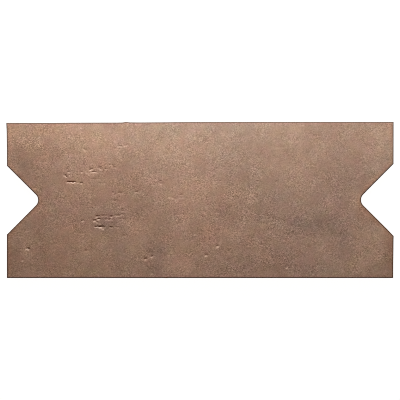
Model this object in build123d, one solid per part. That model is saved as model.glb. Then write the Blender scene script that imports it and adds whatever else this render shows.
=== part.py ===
from build123d import *
from math import atan2, degrees
import os

# Notched porcelain floor tile, nominal 16 x 40 cm, pressed and fired as one piece.
# It lies face up on its keyed back. Each short end has a right-angled notch with a
# rounded root, which takes the corner of a small square inset laid on the diagonal.
# X runs along the tile, Y across it and Z up. The origin is in the middle of the
# outline, on the plane that the back rests on. All sizes are in millimetres.

# Outline and thickness
tile_length = 396.0
tile_width = 160.0
tile_thickness = 10.0

# End notches: the tile in the photograph has a slightly larger one on its right
left_notch_mouth = 70.8
right_notch_mouth = 73.8
notch_root_radius = 8.0

# Section of the side: rounded arris, upright land, then the mould's taper to the back
arris_radius = 0.9
taper_height = 4.0
taper_setback = 0.5

# Keyed back: sunk square keys between ribs, inside a plain border
key_border = 7.0
key_size = 13.0
rib_width = 3.0
key_depth = 0.8
key_draft_angle = 30.0
least_key_share = 0.25  # a key that a notch cuts smaller than this is left out
whole_key_share = 0.999  # above this a notch hasn't touched the key


# The end's outline runs along 45-degree flanks, so a notch is half as deep as its mouth.
def notched_outline():
    right = tile_length / 2
    rear = tile_width / 2
    right_half_mouth = right_notch_mouth / 2
    left_half_mouth = left_notch_mouth / 2
    corners = Polyline(
        (-right, rear),
        (right, rear),
        (right, right_half_mouth),
        (right - right_half_mouth, 0),
        (right, -right_half_mouth),
        (right, -rear),
        (-right, -rear),
        (-right, -left_half_mouth),
        (left_half_mouth - right, 0),
        (-right, left_half_mouth),
        close=True,
    )
    sharp = make_face(corners)
    on_centre_line = 1e-6
    roots = [corner for corner in sharp.vertices() if abs(corner.Y) < on_centre_line]
    return fillet(roots, notch_root_radius)


# The pressed body, thinner in plan at the back, where the mould lets it go.
def pressed_body(outline):
    mould_line = Pos(0, 0, taper_height) * outline
    land = extrude(mould_line, amount=tile_thickness - taper_height)
    taper_angle = degrees(atan2(taper_setback, taper_height))
    foot = extrude(mould_line, amount=-taper_height, taper=taper_angle)
    body = land + foot
    face = body.faces().sort_by(Axis.Z)[-1]
    return fillet(face.edges(), arris_radius)


# A key as a solid, narrower at its floor by the draft of its four walls.
def drafted_key(mouth):
    return extrude(mouth, amount=key_depth, taper=key_draft_angle)


# The keys stand in whole rows and columns, and the notches trim those beside them.
def back_keys(outline):
    border = taper_setback + key_border
    key_field = offset(outline, amount=-border, kind=Kind.INTERSECTION)
    pitch = key_size + rib_width
    columns = int((tile_length - 2 * border + rib_width) // pitch)
    rows = int((tile_width - 2 * border + rib_width) // pitch)
    grid = GridLocations(pitch, pitch, columns, rows)
    square = Rectangle(key_size, key_size)
    mouths = (Sketch() + grid * square) & key_field
    whole_key = drafted_key(square)
    keys = []
    for mouth in mouths.faces():
        share = mouth.area / square.area
        if share > whole_key_share:
            keys.append(Pos(mouth.center()) * whole_key)
        elif share > least_key_share:
            keys.append(drafted_key(mouth))
    return keys


outline = notched_outline()
tile = pressed_body(outline) - back_keys(outline)

os.makedirs("parts", exist_ok=True)
export_step(tile, "parts/tile.step")
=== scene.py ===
import math

import bmesh
import bpy
import numpy as np
from mathutils.geometry import delaunay_2d_cdt
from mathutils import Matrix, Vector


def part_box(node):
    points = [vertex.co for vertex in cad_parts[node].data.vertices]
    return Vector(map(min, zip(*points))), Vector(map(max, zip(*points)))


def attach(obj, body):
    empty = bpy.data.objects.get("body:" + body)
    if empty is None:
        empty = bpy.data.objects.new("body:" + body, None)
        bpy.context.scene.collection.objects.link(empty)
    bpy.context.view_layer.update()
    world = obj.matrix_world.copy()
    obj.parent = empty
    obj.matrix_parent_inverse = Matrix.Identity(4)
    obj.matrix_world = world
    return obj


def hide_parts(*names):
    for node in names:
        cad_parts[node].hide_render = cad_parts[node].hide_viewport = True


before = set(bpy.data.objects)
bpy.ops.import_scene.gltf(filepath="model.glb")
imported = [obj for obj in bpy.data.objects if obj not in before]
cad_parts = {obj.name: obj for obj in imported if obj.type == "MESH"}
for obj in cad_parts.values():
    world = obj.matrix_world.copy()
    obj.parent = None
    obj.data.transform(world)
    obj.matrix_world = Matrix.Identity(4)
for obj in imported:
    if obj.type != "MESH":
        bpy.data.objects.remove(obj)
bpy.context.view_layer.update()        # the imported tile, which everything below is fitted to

mm = 0.001
_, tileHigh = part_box("tile")
halfLength = tileHigh.x / mm
halfWidth = tileHigh.y / mm
thickness = tileHigh.z / mm

# The tile's body. Lengths are in millimetres, X along the tile and Y across it.
tileLook = {
    "leftNotchMouth": 70.8,
    "rightNotchMouth": 73.8,
    "notchRootRadius": 8.0,
    "arrisRadius": 0.9,
    "arrisSteps": 5,
    "taperHeight": 4.0,
    "taperSetback": 0.5,
    "footRadius": 0.25,
    "sideLine": 2.2,            # an extra mesh line round the side, this far below the face
    "weld": 0.002,              # points closer than this become one
    "reliefFade": 9.0,          # the face is flat at its edge, and has its full relief this far in
    "sharpAngle": 42.0,
    "wanderReach": 98.0,        # how far in from an end or an edge its wander is felt
    "rearWander": [(-198, 1.08), (-170, 1.10), (-150, 1.12), (-132, 0.93), (-110, 0.86), (-84, 0.80),
                   (-79, 0.70), (-76, 0.14), (-72, 0.58), (-61, 0.68), (-37, 0.52), (-18, 0.30),
                   (0, 0.22), (37, 0.08), (120, 0.06), (150, 0.12), (198, 0.12)],
    "frontWander": [(-198, 0.27), (-37, 0.27), (-34.8, 0.1), (-32.6, 0.27), (198, 0.27)],
    "leftWander": [(-80, 0.67), (-36, 0.67), (38, 0.69), (54, 0.68), (58, 0.6), (70, 0.41), (80, 0.0)],
    "rightWander": [(-80, 0.58), (-65, 0.50), (-57, 0.36), (-49, 0.26), (-42, 0.22), (-38, 0.12),
                    (-30, -0.25), (-4, -0.35), (4, -0.20), (12, 0.10), (37, 0.19), (80, 0.10)],
}


# A point's distance from the two notched ends, in plan: the least of its distances from the ends'
# lines and from the flanks or the rounded root of each notch. Positive is inside.
def endDistance(x, y):
    edge = halfLength - np.abs(x)
    radius = tileLook["notchRootRadius"]
    for side, mouth in ((-1, tileLook["leftNotchMouth"]), (1, tileLook["rightNotchMouth"])):
        inward = halfLength - side * x
        flank = (np.abs(y) + inward - mouth / 2) / math.sqrt(2)
        fromCentre = inward - (mouth / 2 - radius * math.sqrt(2))
        root = np.hypot(fromCentre, y) - radius
        edge = np.minimum(edge, np.where(np.abs(y) < fromCentre, root, flank))
    return edge


# A point's distance from the whole outline: the lesser of those from the ends and the long edges.
def outlineDistance(x, y):
    return np.minimum(halfWidth - np.abs(y), endDistance(x, y))


# How far an end stands from the middle of the tile at height y, once the outline is drawn in by
# inset: the end's own line, or the flank's where the notch cuts deeper, or the root's arc.
def endReach(y, mouth, inset):
    radius = tileLook["notchRootRadius"] + inset
    flankDepth = mouth / 2 + inset * math.sqrt(2) - np.abs(y)
    arcDepth = mouth / 2 - tileLook["notchRootRadius"] * math.sqrt(2)
    arcDepth = arcDepth + np.sqrt(np.maximum(radius**2 - y**2, 0))
    depth = np.where(np.abs(y) < radius / math.sqrt(2), arcDepth, np.maximum(flankDepth, inset))
    return halfLength - depth


# Half of a notch's mouth on the outline that is drawn in by inset.
def mouthHalf(mouth, inset):
    return mouth / 2 + inset * (math.sqrt(2) - 1)


# Places along a line: each stretch from one stop to the next is divided evenly, in steps no
# longer than the first stop's own.
def spacedStops(stops):
    runs = [
        np.linspace(start, end, math.ceil((end - start) / step), endpoint=False)
        for (start, step), (end, _) in zip(stops, stops[1:])
    ]
    return np.concatenate(runs + [[stops[-1][0]]])


# The mesh lines of the face, close together where its tears and pits lie.
faceMesh = {
    "columnStops": [(-147, 0.6), (-70, 1.1), (-20, 1.3)],
    "rowStops": [(-31, 0.5), (-10, 0.9), (15, 0.5)],
    "upperRowStops": [(45, 0.7), (58, 1.1)],
    "edgeStrip": 0.7,
    "plainStep": 1.2,
    "notchBlend": 125.0,        # beyond this the columns close up to follow the notches
    # Where the grid is drawn together for a lone tear, how strongly, and how far round it
    "gathers": [(-176, -50), (-181, -62), (-56, -60), (-49, -58), (6, -57), (18, -47), (18, -14),
                (-40, 18), (-29, 1), (-19, 4), (34, 42), (78, 19), (89, -70)],
    "gatherShare": 0.6,
    "gatherReach": 5.0,
    "gatherFade": 7.0,
}


# The face as a grid: rows run from one end's outline to the other's, and columns keep their place
# in the middle and lean towards the notches near the ends. Each gather then draws the points round
# it towards its place, by its share times exp(-r^2).
def faceGrid():
    inset = tileLook["arrisRadius"]
    endLine = halfLength - inset
    edgeLine = halfWidth - inset
    strip = faceMesh["edgeStrip"]
    plain = faceMesh["plainStep"]
    left = mouthHalf(tileLook["leftNotchMouth"], inset)
    right = mouthHalf(tileLook["rightNotchMouth"], inset)
    columns = spacedStops(
        [(-endLine, strip), (strip - endLine, plain)]
        + faceMesh["columnStops"]
        + [(endLine - strip, strip), (endLine, strip)]
    )
    rows = spacedStops(
        [(-edgeLine, strip), (strip - edgeLine, plain), (-right, plain), (-left, plain)]
        + faceMesh["rowStops"]
        + [(left, plain), (right, plain)]
        + faceMesh["upperRowStops"]
        + [(edgeLine - strip, strip), (edgeLine, strip)]
    )
    x, y = np.meshgrid(columns, rows)
    blend = faceMesh["notchBlend"]
    lean = np.clip((np.abs(x) - blend) / (endLine - blend), 0, 1)
    leftShift = endLine - endReach(y, tileLook["leftNotchMouth"], inset)
    rightShift = endLine - endReach(y, tileLook["rightNotchMouth"], inset)
    x = x + np.where(x < 0, leftShift, -rightShift) * lean
    fade = np.clip((outlineDistance(x, y) - inset) / faceMesh["gatherFade"], 0, 1)
    for placeX, placeY in faceMesh["gathers"]:
        away = np.hypot(x - placeX, y - placeY) / faceMesh["gatherReach"]
        pull = faceMesh["gatherShare"] * np.exp(-(away**2)) * fade
        x, y = x - pull * (x - placeX), y - pull * (y - placeY)
    return x, y


# A soft random field between about -1 and 1: the sum of many plane waves in random directions,
# with lengths near the one given. A stretch above 1 draws the waves out along X.
def waveField(x, y, length, seed, stretch=1.0, waves=40):
    random = np.random.default_rng(seed)
    turn = random.uniform(0, 2 * math.pi, waves)
    number = 2 * math.pi / (length * random.uniform(0.7, 1.5, waves))
    phase = random.uniform(0, 2 * math.pi, waves)
    field = np.zeros_like(x)
    for angle, wave, start in zip(turn, number, phase):
        field = field + np.cos(wave * (x * math.cos(angle) / stretch + y * math.sin(angle)) + start)
    return field / math.sqrt(waves)


# The relief of the face. Depths are in millimetres below the arris.
faceRelief = {
    "swell": (0.12, 70.0, 0.3),     # the slow swell of a pressed tile: depth, length, unevenness
    "trowel": (0.022, 11.0, 2.2),   # the hand-worked look: depth, length, stretch along the tile
    "ripple": (0.016, 4.6, 1.3),
    "calm": (45.0, 1.5),            # areas with less of both: their length, and how sharply they part
    "raggedness": (0.32, 2.6),      # how far the tears' edges stray, and over what length
    "tearWalls": (0.42, 1.0),       # half widths of a tear above and below its deepest line
    "fullTear": 0.90,               # a tear this deep has the whole of its painted shadow line
    "shadowLine": (0.05, 0.52),       # the painted shadow along the tear's bottom: place across the tear, half width
    # the painted highlight on the lip below the tear: place across the tear, half width
    "highlightLine": (-0.98, 0.55),
    "highlightStray": (0.35, 3.2),       # how far the painted highlight lines stray, and over what length
    # Tears and pits: x, y, length, slant in degrees, depth, share of the painted highlight line below
    "marks": [
        (-131.8, 18.9, 9.2, 0, 1.16, 1.00), (-121.5, 17.8, 2.9, 0, 0.64, 0.45),
        (-134.4, 29.3, 3.0, 0, 0.43, 0.55), (-136.9, 25.0, 3.6, -38, 0.67, 0.00),
        (-133.8, 26.2, 2.0, 0, 0.36, 0.90), (-120.7, 29.3, 2.4, 0, 0.48, 0.62),
        (-111.3, 32.1, 3.4, 18, 0.49, 0.60), (-108.6, 29.3, 6.0, 0, 0.48, 0.90),
        (-101.5, 33.1, 3.6, -30, 0.18, 0.00), (-98.9, 29.5, 2.2, 20, 0.44, 0.20),
        (-96.4, 32.3, 2.4, 20, 0.26, 0.35), (-92.0, 36.3, 2.2, 0, 0.46, 0.45),
        (-87.3, 33.7, 5.2, 0, 0.25, 0.25), (-107.3, 22.1, 9.0, 0, 0.25, 0.05),
        (-101.5, 17.5, 6.0, 0, 0.14, 0.10), (-97.6, 17.7, 1.6, 0, 0.22, 0.25),
        (-88.8, 8.0, 1.8, 0, 0.47, 0.30), (-81.7, 7.7, 4.6, 0, 0.54, 0.30),
        (-86.8, 5.9, 2.6, 15, 0.36, 0.30), (-64.5, 8.6, 2.2, 0, 0.64, 0.00),
        (-81.4, 55.8, 3.2, 0, 0.36, 0.00), (-75.2, 56.4, 3.0, 6, 0.17, 0.00),
        (-84.5, 53.2, 9.0, -6, 0.18, 0.15), (-117.4, 52.4, 6.0, -28, 0.22, 0.00),
        (-95.8, 46.2, 2.6, 0, 0.32, 0.35), (-104.7, -16.3, 3.6, 10, 0.68, 0.30),
        (-97.6, -15.8, 7.2, 0, 0.32, 0.38), (-90.6, -16.6, 2.4, 0, 0.68, 0.92),
        (-84.8, -15.7, 5.8, 2, 0.36, 0.66), (-79.9, -14.6, 3.4, 0, 0.46, 0.30),
        (-79.2, -11.0, 2.6, 0, 0.22, 0.25), (-107.9, -20.5, 2.9, 0, 0.58, 0.30),
        (-103.5, -19.3, 3.4, 0, 0.80, 1.00), (-104.9, -22.4, 2.4, -20, 0.32, 0.00),
        (-93.4, -19.7, 8.6, 0, 0.28, 0.54), (-80.0, -19.0, 8.4, 0, 0.22, 0.20),
        (-102.2, -27.0, 9.9, 0, 1.10, 1.00), (-98.6, -29.0, 2.4, 0, 0.47, 0.00),
        (-91.1, -27.6, 3.6, 8, 0.86, 0.25), (-83.2, -27.8, 5.0, 0, 0.22, 0.20),
        (-120.2, -20.9, 2.8, 0, 0.60, 0.62), (-128.3, -22.1, 1.4, 0, 0.43, 0.30),
        (-123.5, 1.8, 1.8, 0, 0.47, 0.00), (-126.8, 6.2, 2.0, 0, 0.40, 0.20),
        (-86.9, -0.3, 2.0, 0, 0.61, 0.15), (-77.8, -36.4, 6.0, 0, 0.22, 0.10),
        (-176.1, -49.6, 3.4, -8, 0.84, 0.60), (-116.4, -51.5, 2.0, 0, 0.70, 0.00),
        (-76.6, -53.6, 2.2, 0, 0.40, 0.00), (-49.2, -57.4, 2.4, 0, 0.58, 0.00),
        (-55.7, -59.9, 3.0, 0, 0.56, 0.45), (-51.9, -53.2, 2.4, 25, 0.50, 0.00),
        (-46.0, -52.8, 6.0, 0, 0.22, 0.00), (6.3, -56.1, 2.8, 0, 0.44, 0.00),
        (18.3, -46.5, 3.4, 20, 0.35, 0.00), (28.6, -60.7, 2.2, 0, 0.50, 0.00),
        (-39.8, 19.9, 2.2, 0, 0.34, 0.00), (-19.4, 5.6, 4.0, 0, 0.50, 0.10),
        (20.4, 20.0, 2.0, 0, 0.47, 0.00), (58.9, 19.4, 2.2, 0, 0.30, 0.10),
        (77.6, 18.6, 2.4, 52, 0.34, 0.10), (33.7, 42.4, 2.2, 0, 0.42, 0.10),
        (115.3, 35.9, 3.8, -6, 0.25, 0.30), (150.6, 28.7, 1.6, 90, 0.28, 0.00),
        (-156.3, 24.1, 2.0, 0, 0.19, 0.00), (93.9, -26.0, 2.0, 0, 0.47, 0.00),
        (82.7, -33.1, 2.0, 0, 0.47, 0.00),
    ],
    "highlightScoop": (0.35, 0.7, 2.2, 0.9),  # depth, how far above the painted highlight, half widths above and below
    # Painted highlights in streaks and specks, each with a shallow scoop: x, y, length, slant, share
    "scoopHighlights": [
        (-124.9, 17.2, 1.8, 0, 0.60), (-138.4, 24.3, 4.2, -38, 0.56), (-115.0, 27.0, 6.0, -33, 0.50),
        (-112.1, 30.4, 2.8, 25, 1.00), (-102.4, 31.6, 4.4, -30, 0.55), (-110.3, 37.3, 2.0, 0, 0.35),
        (-142.0, 39.4, 2.0, 0, 0.35), (-117.9, 50.9, 6.4, -28, 0.30), (-95.6, 46.9, 2.4, 0, 0.25),
        (-82.5, 54.7, 5.2, 0, 0.48), (-76.3, 54.9, 3.6, 0, 0.45), (-73.9, 55.7, 2.4, 40, 0.30),
        (-165.0, 64.4, 2.2, 90, 1.00), (-121.7, 74.1, 2.2, 0, 0.60), (105.2, 76.1, 2.0, 0, 0.90),
        (-65.4, 7.6, 2.2, 0, 0.60), (-105.2, -17.8, 5.0, 18, 0.75), (-107.9, -22.2, 3.2, 0, 0.90),
        (-105.6, -23.6, 2.8, -35, 0.45), (-102.1, -25.0, 2.0, 0, 0.55),
        (-101.2, -29.2, 4.6, -12, 0.90), (-98.7, -30.2, 2.0, 0, 0.75), (-86.8, -28.1, 2.2, 0, 0.30),
        (-82.8, -21.9, 2.4, 0, 0.25), (-79.2, -21.6, 1.6, 0, 0.40), (-76.7, -22.9, 2.0, 0, 0.30),
        (-41.4, 16.6, 6.0, -11, 0.30), (-40.2, 16.4, 2.6, 0, 0.46), (-47.5, 14.5, 4.8, -18, 0.42),
        (-31.4, 2.4, 3.0, -25, 0.55), (-28.4, 0.8, 2.4, -15, 0.75), (-24.2, -0.5, 2.4, -15, 0.50),
        (-19.2, 1.6, 6.0, 0, 0.42), (6.7, -7.0, 5.0, 10, 0.30), (17.9, -13.6, 3.2, 0, 0.48),
        (18.0, -48.2, 3.4, 10, 1.00), (17.5, -48.4, 2.2, 10, 1.00), (20.8, -44.0, 4.4, 32, 0.40),
        (14.1, -50.6, 3.8, 24, 0.28), (6.1, -57.5, 2.4, 0, 1.00), (17.3, -57.6, 1.8, 0, 0.35),
        (-49.4, -58.8, 3.2, 0, 0.78), (-55.5, -61.2, 3.0, 12, 0.80), (-53.2, -60.3, 3.6, 30, 0.28),
        (-51.1, -55.4, 2.2, 0, 0.28), (-49.4, -76.2, 3.0, 0, 0.70), (-28.4, -77.8, 1.8, 0, 0.55),
        (-177.0, -50.9, 4.6, -12, 0.95), (-181.8, -62.6, 2.4, 0, 1.00), (88.7, -69.9, 2.4, 0, 1.00),
        (82.7, 53.2, 16.0, 0, 0.14), (-5.1, -36.2, 2.0, 0, 0.75), (30.6, -37.2, 2.0, 0, 0.40),
        (-152.2, -42.3, 2.0, 0, 0.38), (-152.2, -18.8, 2.0, 0, 0.35), (-146.1, -30.1, 2.0, 0, 0.38),
        (-176.7, -32.1, 2.0, 0, 0.40),
    ],
}


# How strongly a mark is felt at each point, along and across it: exp(-s^4), where s is 1 at the
# mark's end, and t is the distance from its line, positive towards the rear.
def alongMark(x, y, markX, markY, length, slant):
    along = math.cos(math.radians(slant)), math.sin(math.radians(slant))
    s = (x - markX) * along[0] + (y - markY) * along[1]
    t = (y - markY) * along[0] - (x - markX) * along[1]
    return np.exp(-((2 * s / length) ** 4)), t


# The depth of the face below the arris: a slow swell, a trowel's pattern and a ripple, with the
# tears cut into them. Across a tear the depth follows exp(-t^2), where the wall above is steeper
# than the one below. It fades to nothing at the outline. The shadow and highlight shares are lines
# that follow the same curve: painted shadow along the tear's bottom, and a painted highlight on the
# lip below it, which also gets a glossy coat. A highlight scoop is such a painted highlight with a
# shallow scoop above it.
def faceDepth(x, y):
    swellDepth, swellLength, unevenness = faceRelief["swell"]
    trowelDepth, trowelLength, trowelStretch = faceRelief["trowel"]
    rippleDepth, rippleLength, rippleStretch = faceRelief["ripple"]
    calmLength, calmContrast = faceRelief["calm"]
    calm = 0.5 + 0.5 * np.tanh(calmContrast * waveField(x, y, calmLength, seed=3))
    depth = swellDepth * (1 + unevenness * waveField(x, y, swellLength, seed=1))
    depth = depth + trowelDepth * calm * waveField(x, y, trowelLength, seed=2, stretch=trowelStretch)
    depth = depth + rippleDepth * calm * waveField(x, y, rippleLength, seed=4, stretch=rippleStretch)
    stray, strayLength = faceRelief["raggedness"]
    raggedX = x + stray * waveField(x, y, strayLength, seed=5)
    raggedY = y + stray * waveField(x, y, strayLength, seed=6)
    stray, strayLength = faceRelief["highlightStray"]
    highlightStray = stray * waveField(x, y, strayLength, seed=7)
    above, below = faceRelief["tearWalls"]
    shadowPlace, shadowHalf = faceRelief["shadowLine"]
    highlightPlace, highlightHalf = faceRelief["highlightLine"]
    scoopDepth, scoopPlace, scoopAbove, scoopBelow = faceRelief["highlightScoop"]
    tears = np.zeros_like(x)
    shadow = np.zeros_like(x)
    highlight = np.zeros_like(x)
    for markX, markY, length, slant, deep, highlightShare in faceRelief["marks"]:
        lengthwise, t = alongMark(raggedX, raggedY, markX, markY, length, slant)
        tears = tears + deep * lengthwise * np.exp(-((t / np.where(t > 0, above, below)) ** 2))
        share = min(deep / faceRelief["fullTear"], 1) * lengthwise
        shadow = np.maximum(shadow, share * np.exp(-(((t - shadowPlace) / shadowHalf) ** 2)))
        t = t - highlightPlace - highlightStray
        highlight = np.maximum(highlight, highlightShare * lengthwise * np.exp(-((t / highlightHalf) ** 2)))
    for markX, markY, length, slant, share in faceRelief["scoopHighlights"]:
        lengthwise, t = alongMark(raggedX, raggedY, markX, markY, length, slant)
        highlight = np.maximum(highlight, share * lengthwise * np.exp(-((t / highlightHalf) ** 2)))
        t = t - scoopPlace
        wall = np.where(t > 0, scoopAbove, scoopBelow)
        tears = tears + scoopDepth * share * lengthwise * np.exp(-((t / wall) ** 2))
    fade = np.clip((outlineDistance(x, y) - tileLook["arrisRadius"]) / tileLook["reliefFade"], 0, 1)
    fade = fade * fade * (3 - 2 * fade)
    return np.maximum(depth + tears, 0) * fade, shadow, highlight


# The closed path round a grid, anticlockwise from its first point, as indices into the grid.
def gridRim(shape):
    index = np.arange(shape[0] * shape[1]).reshape(shape)
    front = index[0, :-1]
    right = index[:-1, -1]
    rear = index[-1, :0:-1]
    left = index[:0:-1, 0]
    return np.concatenate([front, right, rear, left])


# The section of the side as (outward, height, edge) rows: a quarter round arris, an upright land,
# the mould's taper and a small round at the foot. Edge is the way down from the arris, negative.
def sideSection():
    arris = tileLook["arrisRadius"]
    foot = tileLook["footRadius"]
    land = thickness - arris
    turn = np.linspace(0, math.pi / 2, tileLook["arrisSteps"] + 1)[1:]
    rounded = np.stack(
        [arris * np.sin(turn), land + arris * np.cos(turn), arris * (1 - np.sin(turn))], axis=1
    )
    drop = np.array([thickness - tileLook["sideLine"], tileLook["taperHeight"], foot])
    outward = np.interp(drop, [0, tileLook["taperHeight"]], [arris - tileLook["taperSetback"], arris])
    straight = np.stack([outward, drop, drop - land], axis=1)
    bottom = [[arris - tileLook["taperSetback"] - foot, 0.0, -land]]
    return np.concatenate([rounded, straight, bottom])


# Carries a section round a closed path: each point goes out from the path along the bisector of
# the two normals there, lengthened at corners so that both sides keep their distance.
def carrySection(path, section):
    step = np.roll(path, -1, axis=0) - path
    step = step / np.linalg.norm(step, axis=1, keepdims=True)
    after = np.stack([step[:, 1], -step[:, 0]], axis=1)
    before = np.roll(after, 1, axis=0)
    bisector = (before + after) / (1 + np.sum(before * after, axis=1, keepdims=True))
    plan = path[None, :, :] + bisector[None, :, :] * section[:, None, 0:1]
    height = np.broadcast_to(section[:, None, 1:2], plan.shape[:2] + (1,))
    return np.concatenate([plan, height], axis=2)


# The keyed back, from the same sizes as the solid's.
keyLook = {
    "border": 7.5,
    "size": 13.0,
    "rib": 3.0,
    "depth": 0.8,
    "wall": 0.46,
    "softness": 0.15,
    "leastShare": 0.25,
    "samples": 40,              # across a key, to tell how much of it a notch leaves
    "wallLines": 5,             # mesh lines down a key's wall
    "sidePoints": 13,           # mesh points along a side of a trimmed key
    "rootPoints": 15,           # and round a notch's root
    "overlap": 1.0,             # a key that reaches further into the border is meshed as trimmed
}
keyPitch = keyLook["size"] + keyLook["rib"]


# How many keys fit side by side between the borders of a side with this half length.
def keysAlong(half):
    nearly = 1e-6
    return int((2 * (half - keyLook["border"]) + keyLook["rib"]) / keyPitch + nearly)


# The place of a key's middle, from its number in a row of so many.
def keyMiddle(number, count):
    return (number - (count - 1) / 2) * keyPitch


keyColumns = keysAlong(halfLength)
keyRows = keysAlong(halfWidth)


# The share of each key that lies in the field inside the border, from a fine grid of samples in
# it. A key with less than the least share is left out.
def keptKeys():
    middleX = keyMiddle(np.arange(keyColumns), keyColumns)
    middleY = keyMiddle(np.arange(keyRows), keyRows)
    samples = keyLook["samples"]
    sample = ((np.arange(samples) + 0.5) / samples - 0.5) * keyLook["size"]
    x = middleX[:, None, None, None] + sample[None, None, :, None]
    y = middleY[None, :, None, None] + sample[None, None, None, :]
    x, y = np.broadcast_arrays(x, y)
    share = np.mean(outlineDistance(x, y) > keyLook["border"], axis=(2, 3))
    return middleX, middleY, share > keyLook["leastShare"]


# The height of the back's surface: a smooth step from the rib's plane into a key, over the least
# of the distances from the key's four sides and from the border.
def backHeight(x, y, kept):
    column = np.clip(np.floor(x / keyPitch + keyColumns / 2), 0, keyColumns - 1).astype(int)
    row = np.clip(np.floor(y / keyPitch + keyRows / 2), 0, keyRows - 1).astype(int)
    offsetX = np.abs(x - keyMiddle(column, keyColumns))
    offsetY = np.abs(y - keyMiddle(row, keyRows))
    inKey = keyLook["size"] / 2 - np.maximum(offsetX, offsetY)
    inKey = np.minimum(inKey, outlineDistance(x, y) - keyLook["border"])
    soft = keyLook["softness"]
    step = np.clip((inKey + soft) / (keyLook["wall"] + 2 * soft), 0, 1)
    return keyLook["depth"] * step * step * (3 - 2 * step) * kept[column, row]


# A run of points along each side of each square, with lines between neighbours, where they stay
# clear of the outline: the squares of keys that a notch trims.
def trimmedSquares(squares, start):
    share = np.linspace(0, 1, keyLook["sidePoints"])[:, None]
    after = np.roll(squares, -1, axis=1)
    points = squares[:, :, None, :] * (1 - share) + after[:, :, None, :] * share
    inside = outlineDistance(points[..., 0], points[..., 1]) > keyLook["border"] / 2
    number = start + np.cumsum(inside.ravel()).reshape(inside.shape) - 1
    joined = inside[..., :-1] & inside[..., 1:]
    lines = np.stack([number[..., :-1][joined], number[..., 1:][joined]], axis=-1)
    return points[inside], lines


# The back as triangles between the foot's path and the lines of the keys: nested squares for each
# key, and nested V lines round each notch, joined by a constrained Delaunay mesh.
def keyedBack(footPath):
    middleX, middleY, kept = keptKeys()
    soft = keyLook["softness"]
    insets = np.linspace(-soft, keyLook["wall"] + soft, keyLook["wallLines"])
    corner = np.array([[-1, -1], [1, -1], [1, 1], [-1, 1]], float)
    middles = np.stack(np.meshgrid(middleX, middleY, indexing="ij"), axis=-1)[kept]
    squares = middles[:, None, None, :] + corner * (keyLook["size"] / 2 - insets)[:, None, None]
    nearest = outlineDistance(squares[:, 0, :, 0], squares[:, 0, :, 1]).min(axis=1)
    whole = nearest > keyLook["border"] - keyLook["overlap"]
    trimmed = squares[~whole].reshape(-1, 4, 2)
    squares = squares[whole].reshape(-1, 4, 2)
    points = [footPath, squares.reshape(-1, 2)]
    ring = np.arange(len(footPath))
    lines = [np.stack([ring, np.roll(ring, -1)], axis=1)]
    start = len(footPath)
    first = start + 4 * np.arange(len(squares))[:, None] + np.arange(4)
    lines.append(np.stack([first, np.roll(first, -1, axis=1)], axis=2).reshape(-1, 2))
    start = start + 4 * len(squares)
    trimPoints, trimLines = trimmedSquares(trimmed, start)
    points.append(trimPoints)
    lines.append(trimLines)
    start = start + len(trimPoints)
    for side, mouth in ((-1, tileLook["leftNotchMouth"]), (1, tileLook["rightNotchMouth"])):
        for inset in keyLook["border"] + insets:
            tangent = (tileLook["notchRootRadius"] + inset) / math.sqrt(2)
            half = mouthHalf(mouth, inset)
            arc = np.linspace(-tangent, tangent, keyLook["rootPoints"])
            y = np.concatenate([[-half], arc, [half]])
            points.append(np.stack([side * endReach(y, mouth, inset), y], axis=1))
            run = start + np.arange(len(y))
            lines.append(np.stack([run[:-1], run[1:]], axis=1))
            start = start + len(y)
    plan = np.concatenate(points)
    edges = np.concatenate(lines)
    insideOnly, nearly = 1, 1e-5
    made = delaunay_2d_cdt(plan.tolist(), edges.tolist(), [], insideOnly, nearly, False)
    plan = np.array([tuple(point) for point in made[0]])
    triangles = np.array(made[2])[:, ::-1]
    centre = plan[triangles].mean(axis=1)
    footInset = tileLook["taperSetback"] + tileLook["footRadius"]
    triangles = triangles[outlineDistance(centre[:, 0], centre[:, 1]) > footInset]
    height = backHeight(plan[:, 0], plan[:, 1], kept)
    return np.column_stack([plan, height]), triangles


# The fired outline wanders a little: each side stands in by its own amount, read from its list
# of stops, and the shift fades away towards the middle of the tile.
def wander(points):
    x, y = points[:, 0], points[:, 1]
    reach = tileLook["wanderReach"]
    inset = {
        side: np.interp(place, *np.array(tileLook[side + "Wander"], float).T)
        for side, place in (("rear", x), ("front", x), ("left", y), ("right", y))
    }
    fromLeft = np.clip(1 - (halfLength + x) / reach, 0, 1)
    fromRight = np.clip(1 - (halfLength - x) / reach, 0, 1)
    fromRear = np.clip(1 - (halfWidth - y) / halfWidth, 0, 1)
    fromFront = np.clip(1 - (halfWidth + y) / halfWidth, 0, 1)
    moved = points.copy()
    moved[:, 0] = x + inset["left"] * fromLeft - inset["right"] * fromRight
    moved[:, 1] = y + inset["front"] * fromFront - inset["rear"] * fromRear
    return moved


# Soft tints of the glaze, as shares added to its red, green and blue.
tints = {
    "sand": (0.100, 0.105, 0.085),
    "chalk": (0.090, 0.100, 0.105),
    "peach": (0.115, 0.090, 0.080),
    "umber": (-0.100, -0.105, -0.110),
    "slate": (-0.115, -0.100, -0.070),
    "rose": (0.050, -0.005, 0.000),
    "moss": (-0.040, 0.005, 0.000),
    "lilac": (0.000, -0.005, 0.035),
    "ochre": (0.000, 0.005, -0.035),
}
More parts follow.
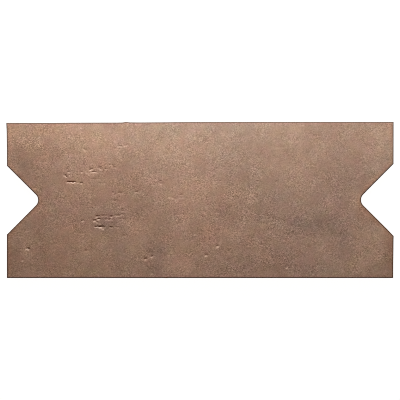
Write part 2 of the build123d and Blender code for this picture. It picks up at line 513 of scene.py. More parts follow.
# The cloudy patches of the glaze, by their tint: x, y, half width, half height, strength
patches = {
    "sand": [
        (58, -38, 12, 8, 0.5), (-156, 72, 12, 7, 0.5), (-74, 51, 9, 9, 0.4), (-188, 68, 9, 10, 0.4),
        (-130, 66, 10, 12, 0.7), (-108, 61, 14, 17, 1.8), (-88, 66, 9, 11, 0.5), (-70, 76, 14, 8, 1.2),
        (-42, 77, 11, 7, 1.4), (-42, 54, 14, 8, 1.2), (-22, 40, 22, 18, 0.6), (1, 45, 11, 8, 0.7),
        (-35, 20, 12, 8, 0.7), (-3, -6, 10, 12, 0.6), (12, 14, 14, 12, 0.5), (-55, -29, 10, 8, 1.0),
        (-25, -48, 14, 12, 0.9), (-21, -66, 13, 15, 1.9), (-65, -46, 11, 16, 1.7),
        (-110, -45, 12, 12, 0.9), (-125, -68, 11, 8, 0.5), (-130, 20, 10, 7, 1.3),
        (184, -57, 9, 7, 0.5), (30, -54, 9, 8, 0.6), (32, -34, 16, 10, 0.7), (158, 1, 6, 13, 1.6),
    ],
    "chalk": [
        (-10, 70, 16, 14, 1.3), (-14, -30, 10, 12, 1.0), (-178, -50, 9, 10, 1.2),
        (178, -40, 17, 15, 2.5), (171, -61, 15, 11, 1.1), (150, -66, 17, 9, 1.6),
        (128, -52, 12, 17, 1.8), (62, -58, 12, 12, 0.8), (70, 70, 14, 11, 0.8), (33, 63, 9, 8, 0.7),
        (101, 66, 10, 10, 0.6), (188, 55, 14, 22, 1.1), (80, 24, 22, 16, 0.6), (88, -13, 7, 9, 0.7),
    ],
    "peach": [
        (-14, 4, 15, 17, 1.6), (-75, -2, 8, 6, 0.8), (-145, -40, 8, 10, 0.5), (-104, 9, 11, 9, 0.6),
    ],
    "umber": [
        (-178, 38, 15, 20, 1.9), (-163, 64, 8, 9, 0.2), (-166, 18, 9, 18, 1.1),
        (-160, -26, 8, 25, 1.4), (-152, 50, 11, 11, 1.0), (-138, 28, 8, 13, 1.2),
        (-124, 50, 6, 9, 1.0), (-150, 2, 14, 10, 1.1), (-166, -14, 7, 9, 0.6), (-118, 4, 7, 6, 0.9),
        (-188, -60, 9, 20, 1.3), (-163, -56, 9, 18, 0.6), (-135, -23, 14, 11, 1.2),
        (-116, -8, 9, 8, 0.8), (-93, -4, 7, 8, 0.9), (-104, -27, 7, 6, 0.6), (-68, -36, 7, 7, 1.0),
        (-71, -14, 13, 6, 1.3), (-80, 12, 9, 11, 1.0), (-66, 28, 14, 14, 0.7), (-60, -3, 8, 20, 1.1),
        (-60, 55, 7, 6, 0.5), (-50, -71, 12, 8, 1.6), (25, -14, 14, 8, 1.6), (14, -36, 9, 8, 0.5),
        (5, -55, 9, 9, 0.5), (-1, 27, 8, 7, 0.8), (14, 36, 7, 7, 0.4), (43, 53, 17, 8, 0.9),
        (100, 49, 18, 7, 0.8), (-15, 43, 5, 5, 0.6), (38, 26, 7, 10, 0.8), (54, 15, 9, 10, 1.1),
        (62, 40, 7, 14, 0.9), (55, -12, 14, 12, 0.6), (75, -16, 9, 6, 0.8), (143, 50, 8, 9, 1.0),
        (128, 68, 18, 12, 1.3), (128, 31, 11, 8, 1.4), (48, -49, 16, 7, 0.7), (79, -62, 8, 8, 0.5),
        (136, -63, 8, 8, 0.7), (76, -69, 20, 8, 1.3), (193, -62, 6, 18, 1.6), (38, 7, 11, 8, 0.5),
        (165, -26, 7, 6, 0.7), (-190, 47, 8, 13, 0.6), (127, -34, 8, 7, 0.6), (-97, 41, 9, 7, 0.5),
    ],
    "slate": [
        (-94, -22, 14, 11, 2.3), (-40, -51, 11, 8, 2.0), (75, 2, 10, 7, 0.7), (104, -24, 17, 9, 1.9),
        (133, -25, 17, 12, 1.6), (145, 18, 11, 25, 1.4), (163, 26, 9, 18, 1.3), (147, -48, 9, 12, 1.1),
    ],
    "rose": [
        (-120, 0, 110, 90, 0.5), (-158, 50, 22, 11, 1.0), (-142, 74, 20, 7, 1.2),
        (-104, 36, 18, 12, 1.0), (-76, 12, 20, 9, 0.8), (-140, 6, 9, 12, 0.7), (-161, -14, 6, 13, 1.2),
        (-66, -26, 8, 13, 1.1), (-135, -26, 14, 13, 0.9), (-148, -60, 11, 16, 0.8),
        (-90, -20, 10, 8, 0.9), (-17, -26, 10, 8, 0.9), (-14, -66, 10, 9, 1.2), (14, -33, 13, 8, 1.8),
        (18, 4, 16, 14, 0.9), (138, 10, 9, 12, 0.9), (36, -8, 14, 8, 0.4), (10, -49, 22, 8, 0.9),
        (85, -68, 16, 9, 0.9), (165, 24, 8, 12, 0.9), (170, -14, 9, 9, 1.0), (134, 30, 12, 7, 0.6),
        (-56, 28, 12, 9, 0.6), (-188, 72, 9, 6, 1.0),
    ],
    "moss": [
        (35, 77, 50, 14, 1.4), (66, 68, 6, 9, 1.4), (163, 76, 12, 6, 1.5), (-42, 74, 32, 9, 1.4),
        (-45, 32, 18, 25, 0.7), (-72, -2, 13, 8, 0.5), (-147, -20, 7, 14, 1.3),
        (-72, -49, 20, 13, 1.0), (-118, -73, 18, 7, 1.1), (-5, -32, 7, 9, 0.7), (28, 42, 15, 13, 1.2),
        (49, 32, 7, 10, 0.9), (70, 20, 14, 11, 1.0), (90, 0, 9, 13, 1.2), (112, -10, 14, 7, 1.1),
        (60, -18, 18, 8, 0.9), (127, 12, 8, 13, 1.1), (193, 46, 8, 12, 2.4), (176, -34, 8, 12, 1.1),
        (130, -73, 50, 8, 1.6), (44, -73, 8, 7, 1.3), (20, -62, 9, 9, 0.9), (125, -50, 13, 11, 0.8),
        (32, 2, 12, 8, 0.6), (84, 16, 14, 9, 0.7), (97, 64, 12, 10, 0.7), (38, 64, 10, 12, 0.8),
        (84, -58, 8, 8, 0.8), (180, 28, 9, 9, 0.9), (-176, -24, 9, 9, 0.8), (-183, 30, 8, 8, 0.5),
    ],
    "lilac": [
        (130, -20, 90, 80, 0.5), (0, 76, 60, 8, 1.1), (50, 64, 8, 10, 1.2), (30, 36, 22, 12, 1.1),
        (-30, 38, 10, 12, 0.7), (-5, -3, 12, 8, 0.9), (-178, -27, 9, 8, 1.2), (-80, -52, 12, 12, 1.3),
        (-20, -23, 12, 8, 1.0), (-35, -72, 28, 9, 1.7), (30, -70, 40, 11, 0.9), (48, -61, 9, 7, 1.2),
        (80, -2, 15, 10, 1.2), (126, 0, 15, 11, 1.3), (88, -28, 20, 14, 0.9), (110, -64, 36, 13, 1.5),
        (158, 20, 14, 14, 0.8), (188, 34, 10, 12, 1.6), (150, -32, 9, 15, 0.9), (116, -38, 8, 7, 0.9),
        (-150, 61, 9, 8, 1.0), (148, 52, 9, 8, 0.8), (144, 33, 8, 7, 0.9),
    ],
    "ochre": [
        (-170, 66, 28, 20, 1.4), (-135, 64, 9, 10, 1.2), (-165, 40, 9, 9, 1.0), (-148, 72, 10, 9, 1.2),
        (-110, 58, 13, 9, 1.0), (-126, 18, 9, 18, 0.9), (-120, -36, 50, 14, 0.6),
        (-118, -74, 18, 5, 2.2), (-95, -65, 7, 8, 0.9), (-70, 20, 10, 10, 0.9), (-103, 18, 14, 9, 0.8),
        (-165, -50, 9, 9, 0.9), (-47, -2, 8, 10, 0.9), (34, 6, 14, 10, 0.9), (-1, -28, 6, 13, 1.5),
        (98, 35, 8, 10, 1.3), (154, 38, 12, 12, 0.8), (168, -36, 9, 7, 1.2), (156, -70, 8, 9, 1.6),
        (66, -60, 8, 8, 1.0), (142, 24, 14, 9, 1.0), (112, -24, 16, 8, 0.4), (131, -28, 8, 16, 0.9),
        (-126, -46, 9, 13, 1.1), (-187, -36, 7, 7, 1.0), (149, 12, 12, 12, 0.7), (-190, 74, 8, 5, 0.8),
    ],
}


endBlend = 8.0      # millimetres


# 1 where the nearest part of the outline is an end or a notch, 0 where it is a long edge, with a
# blend between them: half, plus the difference of the two distances over the blend's length.
def endShare(x, y):
    toSide = halfWidth - np.abs(y)
    return np.clip(0.5 + (toSide - endDistance(x, y)) / endBlend, 0, 1)


# Where the grain is stronger or weaker: x, y, half width, half height, change as a share
grainPatches = [
    (-185, 68, 18, 14, 0.65), (-133, 44, 20, 14, 0.15), (-133, 76, 14, 9, -0.30),
    (38, 18, 20, 18, 0.20), (60, -8, 20, 14, 0.25), (84, -24, 26, 14, 0.35), (45, -60, 22, 16, 0.45),
    (84, -60, 16, 14, 0.30), (-10, -70, 22, 9, 0.10), (185, 56, 14, 18, 0.20),
    (-72, 62, 30, 16, -0.30), (64, 60, 34, 20, -0.38), (0, 72, 34, 12, -0.15),
    (125, 45, 50, 26, -0.28), (-150, -68, 28, 11, -0.10), (-175, -45, 16, 16, 0.25),
    (-64, -30, 40, 14, 0.10), (-100, -22, 34, 14, -0.08), (-118, 24, 24, 14, -0.15),
    (10, 28, 24, 14, -0.10),
]


# How much of a patch is felt at a point: exp(-r^2), where r is measured in the patch's own half
# width and half height.
def cloud(x, y, patchX, patchY, wide, tall):
    return np.exp(-(((x - patchX) / wide) ** 2) - ((y - patchY) / tall) ** 2)


# The glaze's tint at a point: one, plus each tint by the sum of its patches' shares there.
def glazeTint(x, y):
    tint = np.ones(x.shape + (3,))
    for name, group in patches.items():
        share = np.zeros_like(x)
        for patchX, patchY, wide, tall, strength in group:
            share = share + strength * cloud(x, y, patchX, patchY, wide, tall)
        tint = tint + share[..., None] * np.array(tints[name])
    return tint


# The grain's strength at a point: one, plus each patch's change by its share there.
def grainStrength(x, y):
    strength = np.ones_like(x)
    for patchX, patchY, wide, tall, change in grainPatches:
        strength = strength + change * cloud(x, y, patchX, patchY, wide, tall)
    return strength


# A mesh object from arrays of corners, four-sided faces and triangles, with a material number for
# each face.
def meshFromArrays(name, points, quads, triangles, slots):
    mesh = bpy.data.meshes.new(name)
    corners = np.concatenate([quads.ravel(), triangles.ravel()])
    sizes = np.concatenate([np.full(len(quads), 4), np.full(len(triangles), 3)])
    starts = np.concatenate([[0], np.cumsum(sizes)[:-1]])
    mesh.vertices.add(len(points))
    mesh.vertices.foreach_set("co", (points * mm).astype(np.float32).ravel())
    mesh.loops.add(len(corners))
    mesh.loops.foreach_set("vertex_index", corners.astype(np.int32))
    mesh.polygons.add(len(sizes))
    mesh.polygons.foreach_set("loop_start", starts.astype(np.int32))
    mesh.polygons.foreach_set("material_index", slots.astype(np.int32))
    mesh.update(calc_edges=True)
    piece = bpy.data.objects.new(name, mesh)
    bpy.context.scene.collection.objects.link(piece)
    return piece


# Stores a number or a tint for each point, which the materials read.
def addPointValues(mesh, name, values):
    kind, field = ("FLOAT", "value") if values.ndim == 1 else ("FLOAT_VECTOR", "vector")
    attribute = mesh.attributes.new(name, kind, "POINT")
    attribute.data.foreach_set(field, values.astype(np.float32).ravel())


# The whole tile as one closed mesh: the face's grid, the side carried round its rim, and the
# keyed back inside the side's last path.
def buildTile():
    x, y = faceGrid()
    depth, shadow, highlight = faceDepth(x, y)
    face = np.stack([x, y, thickness - depth], axis=-1).reshape(-1, 3)
    index = np.arange(len(face)).reshape(x.shape)
    faceQuads = np.stack(
        [index[:-1, :-1], index[:-1, 1:], index[1:, 1:], index[1:, :-1]], axis=-1
    ).reshape(-1, 4)

    rim = gridRim(x.shape)
    section = sideSection()
    side = carrySection(face[rim, :2], section)
    sideIndex = len(face) + np.arange(side[..., 0].size).reshape(side.shape[:2])
    loops = np.concatenate([rim[None], sideIndex])
    after = np.roll(loops, -1, axis=1)
    sideQuads = np.stack([loops[:-1], loops[1:], after[1:], after[:-1]], axis=-1).reshape(-1, 4)

    back, backTriangles = keyedBack(side[-1, :, :2])
    points = np.concatenate([face, side.reshape(-1, 3), back])
    backTriangles = backTriangles + len(face) + sideIndex.size
    quads = np.concatenate([faceQuads, sideQuads])
    slots = np.concatenate([np.zeros(len(quads)), np.ones(len(backTriangles))])
    piece = meshFromArrays("porcelain_tile", wander(points), quads, backTriangles, slots)

    planX, planY = points[:, 0], points[:, 1]
    faceEdge = outlineDistance(face[:, 0], face[:, 1])
    sideEdge = np.repeat(section[:, 2], len(rim))
    beyondFace = np.zeros(len(points) - len(face))
    pointValues = {
        "edgeDistance": np.concatenate([faceEdge, sideEdge, np.full(len(back), -thickness)]),
        "tearShadow": np.concatenate([shadow.ravel(), beyondFace]),
        "lipHighlightAndGloss": np.concatenate([highlight.ravel(), beyondFace]),
        "glazeTint": glazeTint(planX, planY),
        "grainStrength": grainStrength(planX, planY),
        "endShare": endShare(planX, planY),
        "keyDepth": np.concatenate([np.zeros(len(points) - len(back)), back[:, 2]]),
    }
    mesh = piece.data
    for name, values in pointValues.items():
        addPointValues(mesh, name, values)

    work = bmesh.new()
    work.from_mesh(mesh)
    bmesh.ops.remove_doubles(work, verts=work.verts, dist=tileLook["weld"] * mm)
    work.to_mesh(mesh)
    work.free()
    mesh.polygons.foreach_set("use_smooth", np.ones(len(mesh.polygons), bool))
    mesh.set_sharp_from_angle(angle=math.radians(tileLook["sharpAngle"]))
    mesh.update()
    return piece


# Adds a shader node. An input that is given a socket is linked, and any other value is set.
def addNode(tree, kind, inputs=(), **settings):
    made = tree.nodes.new(kind)
    for name, value in settings.items():
        setattr(made, name, value)
    for name, value in dict(inputs).items():
        if isinstance(value, bpy.types.NodeSocket):
            tree.links.new(value, made.inputs[name])
        else:
            made.inputs[name].default_value = value
    return made


def addMath(tree, operation, first, second=0.0, third=0.0):
    inputs = {0: first, 1: second, 2: third}
    return addNode(tree, "ShaderNodeMath", inputs, operation=operation).outputs[0]


def addVectorMath(tree, operation, first, second):
    inputs = {0: first, 1: second}
    return addNode(tree, "ShaderNodeVectorMath", inputs, operation=operation).outputs[0]


def addMix(tree, factor, first, second):
    inputs = {0: factor, 6: first, 7: second}
    return addNode(tree, "ShaderNodeMix", inputs, data_type="RGBA").outputs[2]


# Rescales a value in a straight line: the span from low to high becomes the target.
def addRange(tree, value, span, target, **settings):
    names = ("From Min", "From Max", "To Min", "To Max")
    inputs = {"Value": value, **dict(zip(names, (*span, *target)))}
    return addNode(tree, "ShaderNodeMapRange", inputs, **settings).outputs["Result"]


# The same to 0 and 1, with a soft start and end.
def addStep(tree, value, span):
    return addRange(tree, value, span, (0.0, 1.0), interpolation_type="SMOOTHSTEP")


# And the other way round: 1 below the span, 0 above it.
def addFall(tree, value, span):
    return addMath(tree, "SUBTRACT", 1.0, addStep(tree, value, span))


def addAttribute(tree, name, output="Fac"):
    return addNode(tree, "ShaderNodeAttribute", attribute_name=name).outputs[output]


def addNoise(tree, place, scale, detail=2.0, roughness=0.5):
    inputs = {"Vector": place, "Scale": scale, "Detail": detail, "Roughness": roughness}
    return addNode(tree, "ShaderNodeTexNoise", inputs).outputs["Fac"]


# A node group with its sockets, and the nodes that stand for its two ends.
def newGroup(name, inputs, outputs):
    tree = bpy.data.node_groups.new(name, "ShaderNodeTree")
    for socketName, kind, value in inputs:
        socket = tree.interface.new_socket(socketName, in_out="INPUT", socket_type=kind)
        if value is not None:
            socket.default_value = value
    for socketName, kind in outputs:
        tree.interface.new_socket(socketName, in_out="OUTPUT", socket_type=kind)
    return tree, tree.nodes.new("NodeGroupInput"), tree.nodes.new("NodeGroupOutput")


# What both materials' grain has in common.
grainLook = {
    "fineness": 2.1,                # how many times finer the second noise is
    "patchScale": 75.0,             # the noise that makes the grain stronger in some patches
    "patchSpan": (0.32, 0.68),
    "patchStrengths": (1.35, 4.5),
    "sparkle": 0.28,
    "warmth": (0.92, 1.0, 1.09),
}


# Sandy grain, used by the glaze and the bare body. A noise at the grain's size and a finer one are
# averaged, a half is taken off, and the rest, times the strength there, is u. The height is 0.5 + u.
# The shade is 1 + contrast * u * (1 + sparkle * u), with u a little larger for blue than for red, so
# that the low grains are warmer.
def sandyGrainGroup():
    tree, start, end = newGroup(
        "sandyGrain",
        [
            ("Place", "NodeSocketVector", None),
            ("Size", "NodeSocketFloat", 1.2),
            ("Contrast", "NodeSocketFloat", 0.2),
            ("Strength", "NodeSocketFloat", 1.0),
        ],
        [("Shade", "NodeSocketVector"), ("Height", "NodeSocketFloat")],
    )
    place = start.outputs["Place"]
    coarseScale = addMath(tree, "DIVIDE", 1000.0, start.outputs["Size"])
    fineScale = addMath(tree, "MULTIPLY", coarseScale, grainLook["fineness"])
    coarse = addNoise(tree, place, coarseScale, 1.0)
    fine = addNoise(tree, place, fineScale, 1.0)
    mixed = addMath(tree, "MULTIPLY", addMath(tree, "ADD", coarse, fine), 0.5)
    patchiness = addNoise(tree, place, grainLook["patchScale"])
    strength = addRange(tree, patchiness, grainLook["patchSpan"], grainLook["patchStrengths"])
    strength = addMath(tree, "MULTIPLY", strength, start.outputs["Strength"])
    uneven = addMath(tree, "MULTIPLY", addMath(tree, "SUBTRACT", mixed, 0.5), strength)
    sparkle = addMath(tree, "MULTIPLY_ADD", uneven, grainLook["sparkle"], 1.0)
    shade = addMath(tree, "MULTIPLY", uneven, sparkle)
    shade = addMath(tree, "MULTIPLY", shade, start.outputs["Contrast"])
    shade = addVectorMath(tree, "MULTIPLY", shade, grainLook["warmth"])
    shade = addVectorMath(tree, "ADD", shade, (1.0, 1.0, 1.0))
    tree.links.new(shade, end.inputs["Shade"])
    tree.links.new(addMath(tree, "ADD", uneven, 0.5), end.inputs["Height"])
    return tree


# Mottling, used by the glaze and the bare body: each of the three colours is shaded by a noise of
# its own, 1 plus the strength times the noise's distance from its middle.
def mottlingGroup():
    tree, start, end = newGroup(
        "mottling",
        [
            ("Place", "NodeSocketVector", None),
            ("Size", "NodeSocketFloat", 10.0),
            ("Strength", "NodeSocketFloat", 0.1),
        ],
        [("Shade", "NodeSocketVector")],
    )
    scale = addMath(tree, "DIVIDE", 1000.0, start.outputs["Size"])
    inputs = {"Vector": start.outputs["Place"], "Scale": scale, "Detail": 1.0, "Roughness": 0.5}
    noise = addNode(tree, "ShaderNodeTexNoise", inputs).outputs["Color"]
    centred = addVectorMath(tree, "SUBTRACT", noise, (0.5, 0.5, 0.5))
    shade = addVectorMath(tree, "MULTIPLY", centred, start.outputs["Strength"])
    shade = addVectorMath(tree, "ADD", shade, (1.0, 1.0, 1.0))
    tree.links.new(shade, end.inputs["Shade"])
    return tree


# Shades a colour with the grain, and raises the surface by the grain's height.
def addGrain(tree, shader, colour, group, place, look, strength=1.0):
    inputs = {
        "Place": place,
        "Size": look["grainSize"],
        "Contrast": look["grainContrast"],
        "Strength": strength,
    }
    grained = addNode(tree, "ShaderNodeGroup", inputs, node_tree=group)
    inputs = {"Height": grained.outputs["Height"], "Distance": look["grainBump"] * mm}
    bump = addNode(tree, "ShaderNodeBump", inputs)
    tree.links.new(bump.outputs["Normal"], shader.inputs["Normal"])
    return addVectorMath(tree, "MULTIPLY", colour, grained.outputs["Shade"])


def addMottling(tree, colour, group, place, size, strength):
    inputs = {"Place": place, "Size": size, "Strength": strength}
    mottled = addNode(tree, "ShaderNodeGroup", inputs, node_tree=group)
    return addVectorMath(tree, "MULTIPLY", colour, mottled.outputs["Shade"])


def newMaterial(name):
    material = bpy.data.materials.new(name)
    material.use_nodes = True
    tree = material.node_tree
    tree.nodes.clear()
    output = tree.nodes.new("ShaderNodeOutputMaterial")
    shader = tree.nodes.new("ShaderNodeBsdfPrincipled")
    tree.links.new(shader.outputs["BSDF"], output.inputs["Surface"])
    place = tree.nodes.new("ShaderNodeTexCoord").outputs["Object"]
    return material, tree, shader, place


# Noise scales are per metre. Edge distances are in millimetres inwards from the arris, and below
# zero down the side.
glazeLook = {
    "paleBrown": (0.316, 0.216, 0.1651, 1),
    "deepBrown": (0.275, 0.183, 0.1363, 1),
    "cloudSize": 16.0,          # millimetres
    "cloudSpan": (0.3, 0.7),
    "blotches": (11.0, 0.15),   # size and strength
    "specks": (5.0, 0.05),
    "looseEdge": (300.0, 3.0),  # noise scale, and how far the marks round the edge stray
    "sideBlush": (1.06, 0.97, 1.04, 1),     # what the brown is multiplied by along the long edges
    "endRust": (1.03, 0.945, 0.89, 1),      # and along the ends and the notches
    "blushSpan": (1.2, 4.0),
    "rustSpan": (1.2, 7.5),
    "rimSpan": (1.2, 3.0),
    "rimShares": (0.05, 0.24),  # how much painted shade the rim gets along the long edges and at the ends
    "endShade": (0.120, 0.096, 0.080, 1),   # the colour of that painted shade at the ends and the notches
    "arrisSpan": (1.0, 1.35),   # where the dark line on the arris ends
    # the arris colour, painted lighter at the rear, towards the lamp, and darker at the front
    "litRearEdge": (0.130, 0.090, 0.069, 1),
    "shadedFrontEdge": (0.100, 0.052, 0.031, 1),
    "rearSpan": (-0.04, 0.07),  # metres along Y, from the front edge's painted shade to the rear edge's painted light
    "bareBody": (0.165, 0.116, 0.084, 1),
    "bareSpan": (-3.4, -2.2),   # where the glaze ends on the side
    "glazeRuns": (70.0, 3.2),   # noise scale, and how far that end strays
    # the colour of the painted shadow in the tears, and how much of it is laid on
    "tearShadowColour": (0.115, 0.034, 0.008, 1),
    "tearShadowShare": 0.86,
    # the colour of the painted highlight on the tears' lips and in the scoops' streaks
    "lipHighlightAndGloss": (0.560, 0.410, 0.330, 1),
    "lipRoughness": 0.28,       # the glaze lies thick and glossy on a tear's lip
    "grainSize": 1.05,          # millimetres
    "grainStretch": (0.86, 1.0, 1.0),
    "grainContrast": 0.88,
    "grainBump": 0.07,          # millimetres
    "roughness": 0.56,
    "cloudRoughness": 0.2,      # added to it by the clouds
    "gloss": 0.15,
}


# The matte glaze: clouded brown with a sandy grain, rusty near the outline, dark on the arris and
# worn off lower down the side, where the bare body shows. Painted shade lies on the rim and on the
# front of the arris, and painted light on its rear; the tears get painted shadow, and their lips
# painted highlights over a glossy coat.
def glazeMaterial(grain, mottling):
    material, tree, shader, place = newMaterial("brownGlaze")
    edge = addAttribute(tree, "edgeDistance")
    atEnds = addAttribute(tree, "endShare")
    lipHighlightAndGloss = addAttribute(tree, "lipHighlightAndGloss")

    clouds = addNoise(tree, place, 1000 / glazeLook["cloudSize"], detail=4.0, roughness=0.6)
    cloudStep = addStep(tree, clouds, glazeLook["cloudSpan"])
    colour = addMix(tree, cloudStep, glazeLook["deepBrown"], glazeLook["paleBrown"])
    colour = addVectorMath(tree, "MULTIPLY", colour, addAttribute(tree, "glazeTint", "Vector"))
    for size, strength in (glazeLook["blotches"], glazeLook["specks"]):
        colour = addMottling(tree, colour, mottling, place, size, strength)

    looseScale, looseReach = glazeLook["looseEdge"]
    stray = addMath(tree, "SUBTRACT", addNoise(tree, place, looseScale), 0.5)
    looseEdge = addMath(tree, "MULTIPLY_ADD", stray, looseReach, edge)
    plain = (1.0, 1.0, 1.0, 1.0)
    blush = addMix(tree, addFall(tree, looseEdge, glazeLook["blushSpan"]), plain, glazeLook["sideBlush"])
    rust = addMix(tree, addFall(tree, looseEdge, glazeLook["rustSpan"]), plain, glazeLook["endRust"])
    colour = addVectorMath(tree, "MULTIPLY", colour, addMix(tree, atEnds, blush, rust))

    grainPlace = addVectorMath(tree, "MULTIPLY", place, glazeLook["grainStretch"])
    grainHere = addAttribute(tree, "grainStrength")
    colour = addGrain(tree, shader, colour, grain, grainPlace, glazeLook, grainHere)
    # Painted highlight: the tears' lips and the scoops' streaks are mixed towards a pale colour; the
    # same share gives them a glossy coat below.
    colour = addMix(tree, lipHighlightAndGloss, colour, glazeLook["lipHighlightAndGloss"])
    # Painted shadow: a dark line along each tear's bottom, on the side turned away from the lamp.
    tearShadowHere = addMath(tree, "MULTIPLY", addAttribute(tree, "tearShadow"), glazeLook["tearShadowShare"])
    colour = addMix(tree, tearShadowHere, colour, glazeLook["tearShadowColour"])

    # The arris is painted lighter towards the rear, where the lamp stands, and darker at the front:
    # painted light and shade.
    across = addNode(tree, "ShaderNodeSeparateXYZ", {0: place}).outputs["Y"]
    towardsRear = addStep(tree, across, glazeLook["rearSpan"])
    edgeColour = addMix(tree, towardsRear, glazeLook["shadedFrontEdge"], glazeLook["litRearEdge"])
    # Painted shade on a band just inside the outline, stronger at the ends and the notches, in the
    # arris's colour.
    rimColour = addMix(tree, atEnds, edgeColour, glazeLook["endShade"])
    rimShare = addRange(tree, atEnds, (0.0, 1.0), glazeLook["rimShares"])
    rimShare = addMath(tree, "MULTIPLY", addFall(tree, edge, glazeLook["rimSpan"]), rimShare)
    colour = addMix(tree, rimShare, colour, rimColour)
    colour = addMix(tree, addFall(tree, edge, glazeLook["arrisSpan"]), colour, edgeColour)
    runScale, runReach = glazeLook["glazeRuns"]
    runs = addMath(tree, "SUBTRACT", addNoise(tree, place, runScale), 0.5)
    runEdge = addMath(tree, "MULTIPLY_ADD", runs, runReach, looseEdge)
    colour = addMix(tree, addFall(tree, runEdge, glazeLook["bareSpan"]), colour, glazeLook["bareBody"])
    tree.links.new(colour, shader.inputs["Base Color"])

    rough = addMath(tree, "MULTIPLY_ADD", clouds, glazeLook["cloudRoughness"], glazeLook["roughness"])
    tree.links.new(rough, shader.inputs["Roughness"])
    tree.links.new(lipHighlightAndGloss, shader.inputs["Coat Weight"])
    shader.inputs["Coat Roughness"].default_value = glazeLook["lipRoughness"]
    shader.inputs["Specular IOR Level"].default_value = glazeLook["gloss"]
    return material


# Noise scales are per metre.
backLook = {
    "body": (0.170, 0.110, 0.078, 1),
    "deepBody": (0.120, 0.078, 0.056, 1),
    "cloudScale": 30.0,
    "mottling": (14.0, 0.2),    # size in millimetres, and strength
    "kilnWash": (0.430, 0.385, 0.335, 1),
    "washStretch": (0.33, 1.0, 1.0),
    "streakScale": 260.0,
    "streakSpan": (0.36, 0.72),
    "patchScale": 22.0,
    "patchSpan": (0.34, 0.62),
    "keySpan": (0.1, 0.7),      # millimetres, from a rib to a key's floor
    "washShares": (0.52, 0.14),     # how much wash is left on the ribs and in the keys
    "grainSize": 0.9,
    "grainContrast": 0.8,
    "grainBump": 0.2,
    "roughness": 0.85,
    "washRoughness": 0.08,      # added to it by the streaks
}


# The bare fired body of the back, with the pale wash that keeps it from the kiln's rollers, thin
# and rubbed off the ribs in streaks along the tile.
def backMaterial(grain, mottling):
    material, tree, shader, place = newMaterial("firedBack")
    clouds = addNoise(tree, place, backLook["cloudScale"], detail=4.0, roughness=0.6)
    colour = addMix(tree, clouds, backLook["deepBody"], backLook["body"])
    colour = addMottling(tree, colour, mottling, place, *backLook["mottling"])
    streakPlace = addVectorMath(tree, "MULTIPLY", place, backLook["washStretch"])
    streaks = addNoise(tree, streakPlace, backLook["streakScale"], detail=4.0, roughness=0.6)
    streaks = addStep(tree, streaks, backLook["streakSpan"])
    patchy = addStep(tree, addNoise(tree, place, backLook["patchScale"]), backLook["patchSpan"])
    inKey = addStep(tree, addAttribute(tree, "keyDepth"), backLook["keySpan"])
    share = addRange(tree, inKey, (0.0, 1.0), backLook["washShares"])
    wash = addMath(tree, "MULTIPLY", addMath(tree, "MULTIPLY", streaks, patchy), share)
    colour = addMix(tree, wash, colour, backLook["kilnWash"])
    colour = addGrain(tree, shader, colour, grain, place, backLook)
    tree.links.new(colour, shader.inputs["Base Color"])
    rough = addMath(tree, "MULTIPLY_ADD", streaks, backLook["washRoughness"], backLook["roughness"])
    tree.links.new(rough, shader.inputs["Roughness"])
    return material


# The room: lengths in metres, powers in watts.
studio = {
    "frameWidth": 0.4085,       # what the picture's width takes in, at the height of the face
    "lens": 100.0,
    "sensor": 36.0,
    "keyPlace": (0.0, 0.26, 0.14),
    "keySize": (0.6, 0.06),
    "keyPower": 1.95,
    "keyColour": (1.0, 0.985, 0.96),
    "fill": 0.42,
    "fillColour": (1.0, 0.80, 0.66, 1),
    "floorSize": 24.0,
    "floorColour": (0.1, 0.1, 0.1, 1),
    "floorBounce": (0.35, 0.33, 0.31, 1),
    "floorGlow": 0.97,
    "floorRoughness": 0.9,
    "pixelFilter": 1.0,         # pixels, as sharp as the photograph
}


def buildCamera():
    data = bpy.data.cameras.new("camera")
    data.lens = studio["lens"]
    data.sensor_width = studio["sensor"]
    camera = bpy.data.objects.new("camera", data)
    height = studio["frameWidth"] * studio["lens"] / studio["sensor"]
    camera.location = (0, 0, thickness * mm + height)
    bpy.context.scene.collection.objects.link(camera)
    bpy.context.scene.camera = camera


def buildLights():
    data = bpy.data.lights.new("keyLight", "AREA")
    data.shape = "RECTANGLE"
    data.size, data.size_y = studio["keySize"]
    data.energy = studio["keyPower"]
    data.color = studio["keyColour"]
    light = bpy.data.objects.new("keyLight", data)
    light.location = studio["keyPlace"]
    light.rotation_euler = (-math.atan2(studio["keyPlace"][1], studio["keyPlace"][2]), 0, 0)
    light.visible_camera = False
    bpy.context.scene.collection.objects.link(light)


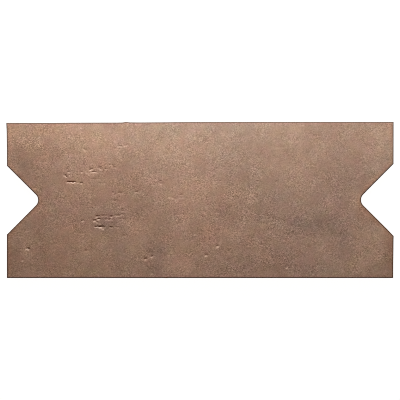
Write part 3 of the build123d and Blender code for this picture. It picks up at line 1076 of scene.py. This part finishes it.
# The world lights the tile softly, and is plain white behind it.
def buildWorld():
    world = bpy.data.worlds.new("studio")
    bpy.context.scene.world = world
    world.use_nodes = True
    tree = world.node_tree
    tree.nodes.clear()
    fill = addNode(
        tree, "ShaderNodeBackground", {"Color": studio["fillColour"], "Strength": studio["fill"]}
    )
    plain = addNode(tree, "ShaderNodeBackground", {"Color": (1, 1, 1, 1), "Strength": 1.0})
    ray = tree.nodes.new("ShaderNodeLightPath").outputs["Is Camera Ray"]
    mixed = addNode(tree, "ShaderNodeMixShader", {0: ray})
    tree.links.new(fill.outputs[0], mixed.inputs[1])
    tree.links.new(plain.outputs[0], mixed.inputs[2])
    output = tree.nodes.new("ShaderNodeOutputWorld")
    tree.links.new(mixed.outputs[0], output.inputs["Surface"])


def buildFloor():
    half = studio["floorSize"] / 2
    corners = [(-half, -half, 0), (half, -half, 0), (half, half, 0), (-half, half, 0)]
    mesh = bpy.data.meshes.new("floor")
    mesh.from_pydata(corners, [], [(0, 1, 2, 3)])
    floor = bpy.data.objects.new("floor", mesh)
    bpy.context.scene.collection.objects.link(floor)
    material, tree, shader, place = newMaterial("paleFloor")
    ray = tree.nodes.new("ShaderNodeLightPath").outputs["Is Camera Ray"]
    colour = addMix(tree, ray, studio["floorBounce"], studio["floorColour"])
    tree.links.new(colour, shader.inputs["Base Color"])
    glow = addMath(tree, "MULTIPLY", ray, studio["floorGlow"])
    tree.links.new(glow, shader.inputs["Emission Strength"])
    shader.inputs["Emission Color"].default_value = (1, 1, 1, 1)
    shader.inputs["Roughness"].default_value = studio["floorRoughness"]
    mesh.materials.append(material)


buildCamera()
tile = buildTile()
print("tile mesh:", len(tile.data.vertices), "points,", len(tile.data.polygons), "faces")
grain = sandyGrainGroup()
mottling = mottlingGroup()
tile.data.materials.append(glazeMaterial(grain, mottling))
tile.data.materials.append(backMaterial(grain, mottling))
print("materials:", [material.name for material in tile.data.materials])
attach(tile, "root")
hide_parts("tile")
buildLights()
buildWorld()
buildFloor()
bpy.context.scene.view_settings.view_transform = "Standard"
bpy.context.scene.cycles.filter_width = studio["pixelFilter"]
print("studio: camera, light, floor and world are set")
